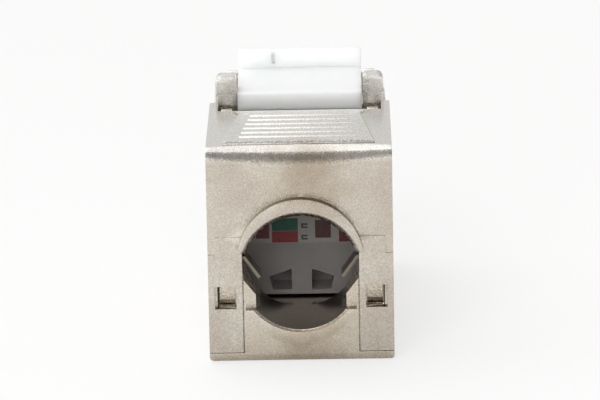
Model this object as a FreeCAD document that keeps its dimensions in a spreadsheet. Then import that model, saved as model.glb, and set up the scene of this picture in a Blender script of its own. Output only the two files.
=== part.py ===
import FreeCAD, Part
import math
import os
import re

import Sketcher

# Shielded keystone jack with a die-cast housing and a hinged cable cover.
# +Y points to the socket end, -Y to the cable end, +Z up. The origin is under the middle of the part.
# Places along the depth are counted from the outside of the cover's rear wall, and "at" turns one into a Y.

Vector = FreeCAD.Vector
doc = FreeCAD.newDocument("keystone_jack")

# Driving dimensions, in millimetres and degrees.
SIZES = {
    # overall
    "body_depth": 34.0,
    "collar_reach": 1.0,
    "cover_width": 16.8,
    "cover_height": 20.0,
    # walls and gaps
    "side_wall": 0.8,
    "rear_wall": 0.8,
    "plate_wall": 1.1,
    "shell_wall": 0.8,
    "floor_wall": 0.9,
    "shell_gap": 0.2,
    "foot_gap": 0.08,
    "insert_gap": 0.1,
    "seat_gap": 0.05,
    # cable opening and collar
    "cable_radius": 5.3,
    "cable_height": 8.6,
    "upper_collar_radius": 5.75,
    "upper_collar_height": 9.75,
    "upper_collar_end": 10.5,
    "collar_chamfer": 0.4,
    "lower_collar_radius": 5.55,
    "lower_collar_height": 7.55,
    "lower_collar_end": 5.2,
    # tongue and saddle of the base
    "tongue_gap": 0.1,
    "tongue_depth": 1.6,
    "cheek_top": 7.8,
    "cheek_bend": 6.4,
    "cheek_half": 4.1,
    "saddle_length": 6.9,
    "shelf_overlap": 0.5,
    "shell_height": 8.9,
    "base_length": 14.6,
    "lap_length": 2.0,
    "lap_thickness": 0.7,
    "corner_round": 0.5,
    "foot_round": 0.8,
    # windows in the cover's legs and the catches behind them
    "window_height": 6.15,
    "window_width": 1.95,
    "window_tall": 2.1,
    "catch_gap": 0.12,
    "catch_depth": 0.45,
    "catch_ridge": 0.65,
    # cover
    "plate_length": 14.7,
    "side_foot": 11.0,
    "side_rise": 9.0,
    "arm_radius": 2.4,
    "top_round_end": 1.0,
    "top_round_middle": 1.8,
    "edge_round": 0.2,
    "leg_pad_depth": 0.1,
    "leg_pad_step": 10.2,
    "leg_pad_top": 11.8,
    "leg_pad_inset": 0.7,
    "presser_thickness": 0.9,
    "presser_gap": 0.3,
    "presser_foot": 9.4,
    "presser_reach": 10.1,
    # thumb pad and its ribs
    "pad_rise": 0.25,
    "pad_start": 1.8,
    "pad_end": 13.2,
    "pad_rear_inset": 1.5,
    "pad_front_inset": 2.7,
    "pad_corner": 0.9,
    "pad_bevel": 0.16,
    "rib_rise": 0.25,
    "rib_first": 3.6,
    "rib_pitch": 1.6,
    "rib_width": 0.7,
    "rib_inset": 1.3,
    # hinge
    "hinge_place": 16.4,
    "hinge_height": 18.2,
    "lug_radius": 1.55,
    "lug_gap": 0.3,
    "lug_thickness": 1.0,
    "pin_radius": 0.6,
    "pin_gap": 0.05,
    # front housing
    "shoulder_start": 19.0,
    "shoulder_depth": 5.0,
    "shoulder_step": 0.35,
    "recess_half": 5.95,
    "recess_floor": 16.6,
    "ear_depth": 2.0,
    "ear_height": 22.2,
    "ear_inset": 0.18,
    "ear_round": 0.6,
    "relief_foot": 17.6,
    "relief_top": 19.5,
    "relief_depth": 1.1,
    "snout_width": 14.5,
    "snout_bottom": 1.9,
    "snout_top": 18.2,
    "snout_wall": 0.7,
    "hook_place": 26.1,
    "hook_length": 1.5,
    "hook_tip": 0.2,
    "hook_half": 5.0,
    # socket opening
    "socket_half": 5.9,
    "socket_bottom": 7.4,
    "socket_top": 14.2,
    "tab_half": 3.2,
    "tab_bottom": 5.6,
    "mouth_bevel": 0.25,
    # keystone latch
    "latch_half": 5.83,
    "latch_pivot_inset": 1.4,
    "latch_pivot_height": 18.95,
    "latch_barrel": 0.7,
    "latch_underside": 19.75,
    "latch_lip": 19.0,
    "latch_lip_length": 0.6,
    "latch_tail_top": 20.7,
    "latch_tail_rise": 0.7,
    "latch_tooth_place": 26.2,
    "latch_peak": 23.2,
    "latch_peak_flat": 0.3,
    "latch_skin": 1.0,
    "latch_web": 1.6,
    "latch_ramp": 1.5,
    "latch_slit_place": 2.5,
    "latch_slit_width": 0.3,
    "latch_slit_depth": 0.7,
    "latch_slit_foot": 21.7,
    "latch_slit_top": 22.7,
    "trunnion_radius": 0.4,
    "trunnion_length": 1.0,
    "cheek_thickness": 1.2,
    "cheek_round": 0.7,
    # contact carrier and contacts
    "carrier_place": 18.4,
    "carrier_wall": 2.0,
    "contact_pitch": 1.02,
    "contact_width": 0.4,
    "contact_thickness": 0.3,
    "contact_height": 14.9,
    "contact_bend_inset": 3.0,
    "contact_bend": 0.55,
    "contact_slope": 13.0,
    "contact_length": 7.5,
    "contact_slot": 0.56,
    "contact_clearance": 0.13,
    # circuit board, terminal block and terminals
    "board_place": 17.0,
    "board_thickness": 1.2,
    "block_place": 13.45,
    "block_bottom": 3.6,
    "block_top": 15.5,
    "terminal_pitch": 2.8,
    "terminal_thickness": 0.35,
    "terminal_tall": 2.0,
    "terminal_tip": 11.3,
    "terminal_fork": 2.0,
    "terminal_slit": 0.35,
    "terminal_low": 7.3,
    "terminal_high": 13.4,
    "post_inset": 0.8,
    "post_width": 0.8,
    "post_tall": 1.8,
    "post_height": 10.2,
    "post_tip": 10.85,
    # wire manager and label
    "manager_place": 10.2,
    "manager_depth": 3.2,
    "manager_bottom": 3.5,
    "manager_top": 16.9,
    "manager_face": 0.9,
    "label_thickness": 0.06,
    "label_half": 5.0,
    "label_bottom": 8.45,
    "label_top": 14.6,
    "port_near": 0.95,
    "port_far": 3.0,
    "port_low": 3.95,
    "port_high": 5.9,
    "port_corner": 0.3,
    "port_slope": 0.7,
    # springs
    "spring_sheet": 0.22,
    "shield_spring_start": 25.0,
    "shield_spring_inset": 1.2,
    "shield_spring_bow": 0.65,
    "shield_spring_low": 8.0,
    "shield_spring_high": 13.6,
    "ground_spring_start": 3.2,
    "ground_spring_width": 2.4,
    "ground_spring_foot": 1.5,
    "ground_finger_place": 3.7,
    "ground_finger_height": 7.1,
}

# Places that follow from the driving dimensions.
WORKED_OUT = {
    "cover_half": "cover_width / 2",
    "cover_inner": "cover_half - side_wall",
    "shell_half": "cover_inner - shell_gap",
    "shell_inner": "shell_half - shell_wall",
    "insert_half": "shell_inner - shell_gap",
    "foot": "floor_wall + foot_gap",
    "plate_under": "cover_height - plate_wall",
    "shell_start": "rear_wall + shell_gap",
    "tongue_half": "cable_radius - tongue_gap",
    "cheek_foot": "cable_height - sqrt(cable_radius^2 - cheek_half^2)",
    "lower_lip_inner": "sqrt(cable_radius^2 - (cable_height - lower_collar_end)^2)",
    "lower_lip_outer": "sqrt(lower_collar_radius^2 - (lower_collar_height - lower_collar_end)^2)",
    "upper_lip_inner": "sqrt(cable_radius^2 - (upper_collar_end - cable_height)^2)",
    "upper_lip_outer": "sqrt(upper_collar_radius^2 - (upper_collar_end - upper_collar_height)^2)",
    "window_place": "(cable_radius + cover_half) / 2",
    "window_low": "window_height - window_tall / 2",
    "window_high": "window_height + window_tall / 2",
    "catch_low": "window_low + catch_gap",
    "catch_high": "window_high - catch_gap",
    "arm_top": "min(cover_height; hinge_height + arm_radius)",
    "arm_flat": "sqrt(abs(arm_radius^2 - (arm_top - hinge_height)^2))",
    "presser_place": "cable_radius + presser_gap",
    "pad_rear_half": "cover_half - pad_rear_inset",
    "pad_front_half": "cover_half - pad_front_inset",
    "pad_top": "cover_height + pad_rise",
    "rib_radius": "(rib_width^2 / 4 + rib_rise^2) / (2 * rib_rise)",
    "lug_outer": "cover_inner - lug_gap",
    "lug_place": "lug_outer - lug_thickness",
    "box_top": "recess_floor",
    "box_ceiling": "recess_floor - floor_wall",
    "shoulder_half": "cover_half - shoulder_step",
    "latch_pivot_place": "body_depth - latch_pivot_inset",
    "contact_bend_place": "body_depth - contact_bend_inset",
    "shield_spring_end": "body_depth - shield_spring_inset",
    "shoulder_end": "shoulder_start + shoulder_depth",
    "snout_half": "snout_width / 2",
    "snout_inner": "snout_half - snout_wall",
    "snout_floor": "snout_bottom + snout_wall",
    "snout_ceiling": "snout_top - snout_wall",
    "snout_front": "body_depth - side_wall",
    "carrier_half": "snout_inner - seat_gap",
    "rail_half": "min(insert_half; carrier_half)",
    "carrier_floor": "snout_floor + seat_gap",
    "carrier_top": "snout_ceiling - insert_gap",
    "carrier_low_top": "box_ceiling - insert_gap",
    "carrier_front": "snout_front - insert_gap",
    "carrier_roof": "socket_top + insert_gap",
    "board_front": "board_place + board_thickness",
    "board_bottom": "floor_wall + lap_thickness + insert_gap",
    "block_front": "board_place - seat_gap",
    "post_place": "insert_half - post_inset",
    "manager_front": "manager_place + manager_depth",
}


def bound(text):
    """Writes a formula of size names as an expression on the sheet."""

    def name_of(match):
        word = match.group(0)
        if word in WORKED_OUT:
            return "(" + bound(WORKED_OUT[word]) + ")"
        if word in SIZES:
            return "Sizes." + word
        return word

    return re.sub(r"[a-z][a-z_0-9]+", name_of, text)


def at(place):
    """Turns a depth behind the rear wall's outside into a Y, with the origin under the middle."""
    return f"({place}) - (body_depth - collar_reach) / 2"


def number(text):
    """The present value of a formula."""
    return float(sheet.evalExpression(bound(text)))


def both(side, low, high):
    """A range across the width, mirrored for the left side."""
    return (low, high) if side > 0 else (f"-({high})", f"-({low})")


def make_sheet():
    """Puts the driving dimensions in the document's spreadsheet."""
    table = doc.addObject("Spreadsheet::Sheet", "Sizes")
    for row, (name, value) in enumerate(SIZES.items(), start=1):
        table.set(f"A{row}", name)
        table.set(f"B{row}", str(value))
        table.setAlias(f"B{row}", name)
    doc.recompute()
    return table


# ---- drawing helpers ----

PLANES = {"X": "YZ_Plane", "Y": "XZ_Plane", "Z": "XY_Plane"}


def fix(sketch, kind, item, corner, text):
    """Adds a dimension to a sketch and ties it to the sheet."""
    index = sketch.addConstraint(Sketcher.Constraint(kind, item, corner, number(text)))
    sketch.setExpression(f"Constraints[{index}]", bound(text))


def fix_point(sketch, item, corner, across, up):
    """Places one point of a sketch."""
    fix(sketch, "DistanceX", item, corner, across)
    fix(sketch, "DistanceY", item, corner, up)


def end_near(sketch, item, point):
    """Tells which end of an edge lies at a point."""
    start = sketch.getPoint(item, 1)
    finish = sketch.getPoint(item, 2)
    return 1 if start.distanceToPoint(point) < finish.distanceToPoint(point) else 2


def arc_through(start, end, centre, turn):
    """An arc from start to end about a centre, anticlockwise for a turn of 1."""
    first = math.atan2(start.y - centre.y, start.x - centre.x)
    last = math.atan2(end.y - centre.y, end.x - centre.x)
    sweep = (last - first) * turn % (2 * math.pi)
    middle = first + turn * sweep / 2
    radius = start.distanceToPoint(centre)
    return Part.Arc(start, centre + Vector(math.cos(middle), math.sin(middle), 0) * radius, end)


def corner_cut(before, corner, after, radius):
    """Where a rounded corner leaves its two edges, and the middle of its arc."""
    back = (before - corner).normalize()
    on = (after - corner).normalize()
    half = back.getAngle(on) / 2
    inset = radius / math.tan(half)
    middle = corner + (back + on).normalize() * (radius / math.sin(half) - radius)
    return corner + back * inset, middle, corner + on * inset


def draw(sketch, outline, closed=True):
    """Draws an outline. Each corner is (across, up), with a radius to round it,
    or with (centre across, centre up) and a turn where an arc leads to it."""
    spots = [Vector(number(corner[0]), number(corner[1]), 0) for corner in outline]
    count = len(spots)
    arcs = [len(corner) == 4 for corner in outline]
    entry, leave, middles = list(spots), list(spots), {}
    for i, corner in enumerate(outline):
        if len(corner) == 3:
            found = corner_cut(spots[i - 1], spots[i], spots[(i + 1) % count], number(corner[2]))
            entry[i], middles[i], leave[i] = found
    first = 0 if closed else 1
    edges = {}
    for i in range(first, count):
        start, end = leave[i - 1], entry[i]
        if arcs[i]:
            across, up = outline[i][2]
            shape = arc_through(start, end, Vector(number(across), number(up), 0), outline[i][3])
        else:
            shape = Part.LineSegment(start, end)
        edges[i] = sketch.addGeometry(shape)
    for i in range(first, count):
        join_corner(sketch, outline, i, edges, entry, leave, middles, closed)
        if arcs[i]:
            across, up = outline[i][2]
            run = entry[i] - leave[i - 1]
            if abs(run.x) >= abs(run.y):
                fix(sketch, "DistanceY", edges[i], 3, up)
            else:
                fix(sketch, "DistanceX", edges[i], 3, across)
    if not closed:
        fix_point(sketch, edges[1], end_near(sketch, edges[1], spots[0]), *outline[0][:2])


def join_corner(sketch, outline, i, edges, entry, leave, middles, closed):
    """Joins the edges that meet at one corner and places the corner."""
    edge = edges[i]
    end = end_near(sketch, edge, entry[i])
    last = i == len(outline) - 1
    if last and not closed:
        fix_point(sketch, edge, end, *outline[i][:2])
        return
    following = edges[(i + 1) % len(outline)]
    start = end_near(sketch, following, leave[i])
    if i not in middles:
        sketch.addConstraint(Sketcher.Constraint("Coincident", edge, end, following, start))
        fix_point(sketch, edge, end, *outline[i][:2])
        return
    arc = sketch.addGeometry(Part.Arc(entry[i], middles[i], leave[i]))
    arc_start = end_near(sketch, arc, entry[i])
    arc_end = end_near(sketch, arc, leave[i])
    spot = sketch.addGeometry(Part.Point(Vector(number(outline[i][0]), number(outline[i][1]), 0)), True)
    sketch.addConstraint(Sketcher.Constraint("Tangent", edge, end, arc, arc_start))
    sketch.addConstraint(Sketcher.Constraint("Tangent", arc, arc_end, following, start))
    sketch.addConstraint(Sketcher.Constraint("PointOnObject", spot, 1, edge))
    sketch.addConstraint(Sketcher.Constraint("PointOnObject", spot, 1, following))
    fix_point(sketch, spot, 1, *outline[i][:2])
    index = sketch.addConstraint(Sketcher.Constraint("Radius", arc, number(outline[i][2])))
    sketch.setExpression(f"Constraints[{index}]", bound(outline[i][2]))


def circle(across, up, radius):
    """A round outline."""
    return {"centre": (across, up), "radius": radius}


def box(left, right, low, high, corner=None):
    """A rectangular outline, with its corners rounded if a radius is given."""
    spots = [(left, low), (right, low), (right, high), (left, high)]
    return [spot + (corner,) for spot in spots] if corner else spots


def sketch_on(body, name, axis, place, *outlines, closed=True):
    """A sketch across an axis of the part, at a place along it."""
    sketch = body.newObject("Sketcher::SketchObject", name)
    plane = next(item for item in body.Origin.OriginFeatures if item.Role == PLANES[axis])
    sketch.AttachmentSupport = [(plane, "")]
    sketch.MapMode = "FlatFace"
    sign = "-" if axis == "Y" else ""
    sketch.setExpression("AttachmentOffset.Base.z", f"{sign}({bound(place)})")
    for outline in outlines:
        if isinstance(outline, dict):
            across, up = outline["centre"]
            spot = Vector(number(across), number(up), 0)
            item = sketch.addGeometry(Part.Circle(spot, Vector(0, 0, 1), number(outline["radius"])))
            fix_point(sketch, item, 3, across, up)
            index = sketch.addConstraint(Sketcher.Constraint("Radius", item, number(outline["radius"])))
            sketch.setExpression(f"Constraints[{index}]", bound(outline["radius"]))
        else:
            draw(sketch, outline, closed)
    doc.recompute()
    return sketch


def extrude(kind, body, name, axis, start, length, outlines):
    """One pad or pocket, checked to add or take away material."""
    before = body.Shape.Volume if body.Tip else 0.0
    feature_sketch = sketch_on(body, name + "_sketch", axis, start, *outlines)
    feature = body.newObject("PartDesign::" + kind, name)
    feature.Profile = feature_sketch
    feature.setExpression("Length", bound(length))
    doc.recompute()
    grown = body.Shape.Volume - before
    if (grown <= 0) == (kind == "Pad"):
        raise RuntimeError(f"{body.Label}: {name} changed the volume by {grown:.4f}")
    return feature


def pad(body, name, axis, low, high, *outlines):
    """Adds an outline's material between two places along an axis."""
    start = high if axis == "Y" else low
    return extrude("Pad", body, name, axis, start, f"({high}) - ({low})", outlines)


def pocket(body, name, axis, low, high, *outlines):
    """Cuts an outline away between two places along an axis."""
    start = low if axis == "Y" else high
    return extrude("Pocket", body, name, axis, start, f"({high}) - ({low})", outlines)


def row(body, name, feature, axis, pitch, count):
    """Repeats a feature along an axis of the body's origin, a pitch apart."""
    pattern = body.newObject("PartDesign::LinearPattern", name)
    pattern.Originals = [feature]
    line = next(item for item in body.Origin.OriginFeatures if item.Role == axis + "_Axis")
    pattern.Direction = (line, [""])
    pattern.Mode = "Spacing"
    pattern.setExpression("Offset", bound(pitch))
    pattern.Occurrences = count
    body.Tip = pattern
    doc.recompute()
    return pattern


def edges_at(body, radius=None, **places):
    """Names the edges of a body whose ends all lie at the given x, y or z. An x counts on both sides."""
    found = []
    for index, edge in enumerate(body.Shape.Edges, start=1):
        ends = [vertex.Point for vertex in edge.Vertexes]
        here = all(
            abs((abs(point.x) if letter == "x" else getattr(point, letter)) - number(place)) < 0.001
            for point in ends
            for letter, place in places.items()
        )
        size = getattr(edge.Curve, "Radius", None)
        if here and (radius is None or (size and abs(size - number(radius)) < 0.001)):
            found.append(f"Edge{index}")
    return found


def dress(kind, body, name, size, edges):
    """Rounds or chamfers some edges of a body."""
    base = body.Tip
    feature = body.newObject("PartDesign::" + kind, name)
    feature.Base = (base, edges)
    feature.setExpression("Radius" if kind == "Fillet" else "Size", bound(size))
    doc.recompute()
    if not body.Shape.isValid():
        raise RuntimeError(f"{body.Label}: {name} left an unsound solid")
    return feature


def new_body(label):
    """An empty sub-part."""
    body = doc.addObject("PartDesign::Body", label)
    body.Label = label
    return body


# ---- the pieces ----

SIDES = {"left": -1, "right": 1}


def make_base_shell():
    """The fixed trough: floor, walls, tongue, lower collar, cable saddle and the two catches."""
    body = new_body("base_shell")
    floor = [
        ("-cover_half", "0", "corner_round"),
        ("cover_half", "0", "corner_round"),
        ("cover_half", "floor_wall"),
        ("-cover_half", "floor_wall"),
    ]
    pad(body, "floor", "Y", at("0"), at("base_length"), floor)
    walls = box("-shell_half", "shell_half", "floor_wall / 2", "shell_height")
    pad(body, "walls", "Y", at("shell_start"), at("base_length"), walls)
    pipe = ("0", "cable_height")
    tongue = [
        ("-tongue_half", "floor_wall / 2"),
        ("tongue_half", "floor_wall / 2"),
        ("tongue_half", "cheek_top"),
        ("cheek_half", "cheek_bend"),
        ("cheek_half", "cheek_foot"),
        ("-cheek_half", "cheek_foot", pipe, -1),
        ("-cheek_half", "cheek_bend"),
        ("-tongue_half", "cheek_top"),
    ]
    trench = [
        ("-cable_radius", "shell_height + 1"),
        ("-cable_radius", "cable_height"),
        ("cable_radius", "cable_height", pipe, 1),
        ("cable_radius", "shell_height + 1"),
    ]
    pocket(body, "saddle", "Y", at("shell_start"), at("saddle_length"), trench)
    pad(body, "tongue", "Y", at("0"), at("tongue_depth"), tongue)
    lip = [
        ("lower_lip_inner", "lower_collar_end"),
        ("-lower_lip_inner", "lower_collar_end", pipe, -1),
        ("-lower_lip_outer", "lower_collar_end"),
        ("lower_lip_outer", "lower_collar_end", ("0", "lower_collar_height"), 1),
    ]
    pad(body, "lower_collar", "Y", at("-collar_reach"), at("rear_wall / 2"), lip)
    foot = [
        (at("foot_round"), "0"),
        (at("0"), "foot_round", (at("foot_round"), "foot_round"), -1),
        (at("-edge_round"), "foot_round"),
        (at("-edge_round"), "-edge_round"),
        (at("foot_round"), "-edge_round"),
    ]
    pocket(body, "foot_round", "X", "-cover_half - edge_round", "cover_half + edge_round", foot)
    hollow = box("-shell_inner", "shell_inner", "floor_wall", "shell_height + 1")
    pocket(body, "trough", "Y", at("saddle_length"), at("base_length"), hollow)
    shelf = box("-shell_inner", "shell_inner", "floor_wall / 2", "manager_bottom - shell_gap")
    pad(body, "shelf", "Y", at("saddle_length - shelf_overlap"), at("manager_front - shelf_overlap"), shelf)
    lap = box("-insert_half", "insert_half", "floor_wall", "floor_wall + lap_thickness")
    pad(body, "lap", "Y", at("base_length - lap_length"), at("base_length + lap_length"), lap)
    ridge = "catch_low + catch_ridge"
    root = at("shell_start + catch_gap")
    catch = [
        (root, "catch_low"),
        (root, "catch_high"),
        (at("shell_start"), "catch_high"),
        (at("shell_start - catch_depth"), ridge),
        (at("shell_start"), "catch_low"),
    ]
    near = "window_place - window_width / 2 + catch_gap"
    far = "shell_half"
    for word, side in SIDES.items():
        pad(body, "catch_" + word, "X", *both(side, near, far), catch)
    lip_edge = edges_at(body, radius="cable_radius", y=at("-collar_reach"))
    dress("Chamfer", body, "lower_collar_chamfer", "collar_chamfer / 2", lip_edge)
    return body


def make_upper_cover():
    """The hinged hood: plate, side walls with arms, rear wall with slot and windows, collar and thumb pad."""
    body = new_body("upper_cover")
    plate = box("-cover_half", "cover_half", "plate_under", "cover_height")
    pad(body, "plate", "Y", at("0"), at("plate_length"), plate)
    pivot = (at("hinge_place"), "hinge_height")
    side_wall = [
        (at("0"), "foot"),
        (at("side_foot"), "foot", "corner_round"),
        (at("base_length"), "side_rise"),
        (at("base_length"), "hinge_height - arm_radius"),
        (at("hinge_place"), "hinge_height - arm_radius"),
        (at("hinge_place + arm_flat"), "arm_top", pivot, 1),
        (at("plate_length"), "cover_height"),
        (at("0"), "cover_height"),
    ]
    for word, side in SIDES.items():
        pad(body, "side_wall_" + word, "X", *both(side, "cover_inner", "cover_half"), side_wall)
    pipe = ("0", "cable_height")
    rear_wall = [
        ("cable_radius", "foot"),
        ("cover_half", "foot"),
        ("cover_half", "cover_height"),
        ("-cover_half", "cover_height"),
        ("-cover_half", "foot"),
        ("-cable_radius", "foot"),
        ("-cable_radius", "upper_collar_end"),
        ("-upper_lip_inner", "upper_collar_end"),
        ("upper_lip_inner", "upper_collar_end", pipe, -1),
        ("cable_radius", "upper_collar_end"),
    ]
    pad(body, "rear_wall", "Y", at("0"), at("rear_wall"), rear_wall)
    round_rear_top(body)
    for word, side in SIDES.items():
        leg_pad = [
            (f"{side} * cable_radius", "foot"),
            (f"{side} * cover_half", "foot"),
            (f"{side} * cover_half", "leg_pad_step"),
            (f"{side} * (cover_half - leg_pad_inset)", "leg_pad_step"),
            (f"{side} * (cover_half - leg_pad_inset)", "leg_pad_top"),
            (f"{side} * cable_radius", "leg_pad_top"),
        ]
        pad(body, "leg_pad_" + word, "Y", at("-leg_pad_depth"), at("0"), leg_pad)
    collar = [
        ("upper_lip_inner", "upper_collar_end", pipe, -1),
        ("upper_lip_outer", "upper_collar_end"),
        ("-upper_lip_outer", "upper_collar_end", ("0", "upper_collar_height"), 1),
        ("-upper_lip_inner", "upper_collar_end"),
    ]
    pad(body, "upper_collar", "Y", at("-collar_reach"), at("0"), collar)
    mouth = edges_at(body, radius="cable_radius", y=at("-collar_reach"))
    dress("Chamfer", body, "upper_collar_chamfer", "collar_chamfer", mouth)
    for word, side in SIDES.items():
        reach = both(side, "window_place - window_width / 2", "window_place + window_width / 2")
        window = box(*reach, "window_low", "window_high")
        pocket(body, "window_" + word, "Y", at("-leg_pad_depth"), at("rear_wall"), window)
    for word, side in SIDES.items():
        reach = both(side, "presser_place", "presser_place + presser_thickness")
        presser = box(*reach, "presser_foot", "plate_under")
        pad(body, "presser_" + word, "Y", at("rear_wall / 2"), at("presser_reach"), presser)
    thumb_pad = [
        ("-pad_rear_half", at("pad_start")),
        ("pad_rear_half", at("pad_start")),
        ("pad_front_half", at("pad_end"), "pad_corner"),
        ("-pad_front_half", at("pad_end"), "pad_corner"),
    ]
    pad(body, "thumb_pad", "Z", "cover_height - plate_wall / 2", "pad_top", thumb_pad)
    dress("Chamfer", body, "thumb_pad_bevel", "pad_bevel", edges_at(body, z="pad_top"))
    for index in range(6):
        add_thumb_rib(body, index)
    bore = circle(*pivot, "pin_radius + pin_gap")
    for word, side in SIDES.items():
        pocket(body, "pin_bore_" + word, "X", *both(side, "cover_inner", "cover_half"), bore)
    return body


def round_rear_top(body):
    """Rounds the cover's rear top edge, with a fuller radius in the middle than at the ends."""
    sections = []
    beyond = "cover_half + edge_round"
    for word, place, radius in (
        ("left", f"-({beyond})", "top_round_end"),
        ("middle", "0", "top_round_middle"),
        ("right", beyond, "top_round_end"),
    ):
        outline = [
            (at(radius), "cover_height"),
            (at(radius), "cover_height + edge_round"),
            (at("-edge_round"), "cover_height + edge_round"),
            (at("-edge_round"), f"cover_height - {radius}"),
            (at("0"), f"cover_height - {radius}"),
        ]
        outline[0] += ((at(radius), f"cover_height - {radius}"), -1)
        sections.append(sketch_on(body, f"rear_top_{word}", "X", place, outline))
    loft = body.newObject("PartDesign::SubtractiveLoft", "rear_top_round")
    loft.Profile = sections[0]
    loft.Sections = sections[1:]
    doc.recompute()


def add_thumb_rib(body, index):
    """One half-round rib across the thumb pad, a little shorter than the pad is wide there."""
    taper = "(pad_rear_half - pad_front_half) / (pad_end - pad_start)"
    place = f"rib_first + {index} * rib_pitch"
    half = f"pad_rear_half - ({place} - pad_start) * {taper} - rib_inset"
    rear, front = at(f"{place} - rib_width / 2"), at(f"{place} + rib_width / 2")
    profile = [
        (rear, "pad_top - pad_rise / 2"),
        (front, "pad_top - pad_rise / 2"),
        (front, "pad_top"),
        (rear, "pad_top", (at(place), "pad_top + rib_rise - rib_radius"), 1),
    ]
    pad(body, f"thumb_rib_{index + 1}", "X", f"-({half})", half, profile)


def make_hinge_pin(word, side):
    """A plain pin pressed into the housing's lug, on which one arm of the cover turns."""
    body = new_body("hinge_pin_" + word)
    pivot = (at("hinge_place"), "hinge_height")
    pad(body, "shank", "X", *both(side, "lug_place", "cover_half"), circle(*pivot, "pin_radius"))
    return body


def make_front_housing():
    """The fixed front: box, shoulder with recess and ears, hinge lugs, snout, hook and socket opening."""
    body = new_body("front_housing")
    box_outline = [
        ("-shell_half", "0", "corner_round"),
        ("shell_half", "0", "corner_round"),
        ("shell_half", "box_top"),
        ("-shell_half", "box_top"),
    ]
    pad(body, "rear_box", "Y", at("base_length"), at("shoulder_start + 1"), box_outline)
    shoulder = [
        ("-shoulder_half", "0", "corner_round"),
        ("shoulder_half", "0", "corner_round"),
        ("shoulder_half", "cover_height", "corner_round"),
        ("-shoulder_half", "cover_height", "corner_round"),
    ]
    pad(body, "shoulder", "Y", at("shoulder_start"), at("shoulder_end"), shoulder)
    snout = box("-snout_half", "snout_half", "snout_bottom", "snout_top")
    pad(body, "snout", "Y", at("shoulder_end - 1"), at("body_depth"), snout)
    recess = box("-recess_half", "recess_half", "recess_floor", "cover_height + 1")
    pocket(body, "latch_recess", "Y", at("shoulder_start"), at("shoulder_end"), recess)
    for word, side in SIDES.items():
        ear = [
            (f"{side} * recess_half", "cover_height - 1"),
            (f"{side} * (shoulder_half - ear_inset)", "cover_height - 1"),
            (f"{side} * (shoulder_half - ear_inset)", "ear_height", "ear_round"),
            (f"{side} * recess_half", "ear_height", "ear_round / 2"),
        ]
        pad(body, "ear_" + word, "Y", at("shoulder_start"), at("shoulder_start + ear_depth"), ear)
        relief = box(*both(side, "recess_half", "shoulder_half - ear_inset"), "relief_foot", "relief_top")
        relief_end = at("shoulder_start + relief_depth")
        pocket(body, "arm_relief_" + word, "Y", at("shoulder_start"), relief_end, relief)
    rear, front = at("hinge_place - lug_radius"), at("hinge_place + lug_radius")
    lug = [
        (rear, "box_top - floor_wall / 2"),
        (front, "box_top - floor_wall / 2"),
        (front, "hinge_height"),
        (rear, "hinge_height", (at("hinge_place"), "hinge_height"), 1),
    ]
    bore = circle(at("hinge_place"), "hinge_height", "pin_radius")
    for word, side in SIDES.items():
        pad(body, "hinge_lug_" + word, "X", *both(side, "lug_place", "lug_outer"), lug)
        pocket(body, "pin_hole_" + word, "X", *both(side, "lug_place", "cover_half"), bore)
    hook = [
        (at("hook_place"), "snout_bottom + snout_wall / 2"),
        (at("hook_place"), "hook_tip"),
        (at("hook_place + hook_length / 2"), "hook_tip"),
        (at("hook_place + hook_length"), "snout_bottom"),
        (at("hook_place + hook_length"), "snout_bottom + snout_wall / 2"),
    ]
    pad(body, "hook", "X", "-hook_half", "hook_half", hook)
    cheek_rear = at("latch_pivot_place - cheek_round")
    cheek_front = at("latch_pivot_place + cheek_round")
    cheek = [
        (cheek_rear, "snout_top - snout_wall / 2"),
        (cheek_front, "snout_top - snout_wall / 2"),
        (cheek_front, "latch_pivot_height"),
        (cheek_rear, "latch_pivot_height", (at("latch_pivot_place"), "latch_pivot_height"), 1),
    ]
    trunnion_bore = circle(at("latch_pivot_place"), "latch_pivot_height", "trunnion_radius + pin_gap")
    for word, side in SIDES.items():
        reach = both(side, "latch_half + insert_gap", "latch_half + insert_gap + cheek_thickness")
        pad(body, "latch_cheek_" + word, "X", *reach, cheek)
        pocket(body, "trunnion_hole_" + word, "X", *reach, trunnion_bore)
    box_room = box("-shell_inner", "shell_inner", "floor_wall", "box_ceiling")
    pocket(body, "box_room", "Y", at("base_length"), at("shoulder_end"), box_room)
    snout_room = box("-snout_inner", "snout_inner", "snout_floor", "snout_ceiling")
    pocket(body, "snout_room", "Y", at("shoulder_end"), at("snout_front"), snout_room)
    socket = [
        ("-tab_half", "tab_bottom"),
        ("tab_half", "tab_bottom"),
        ("tab_half", "socket_bottom"),
        ("socket_half", "socket_bottom"),
        ("socket_half", "socket_top"),
        ("-socket_half", "socket_top"),
        ("-socket_half", "socket_bottom"),
        ("-tab_half", "socket_bottom"),
    ]
    pocket(body, "socket", "Y", at("snout_front"), at("body_depth"), socket)
    dress("Chamfer", body, "mouth_bevel", "mouth_bevel", edges_at(body, y=at("body_depth")))
    return body


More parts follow.
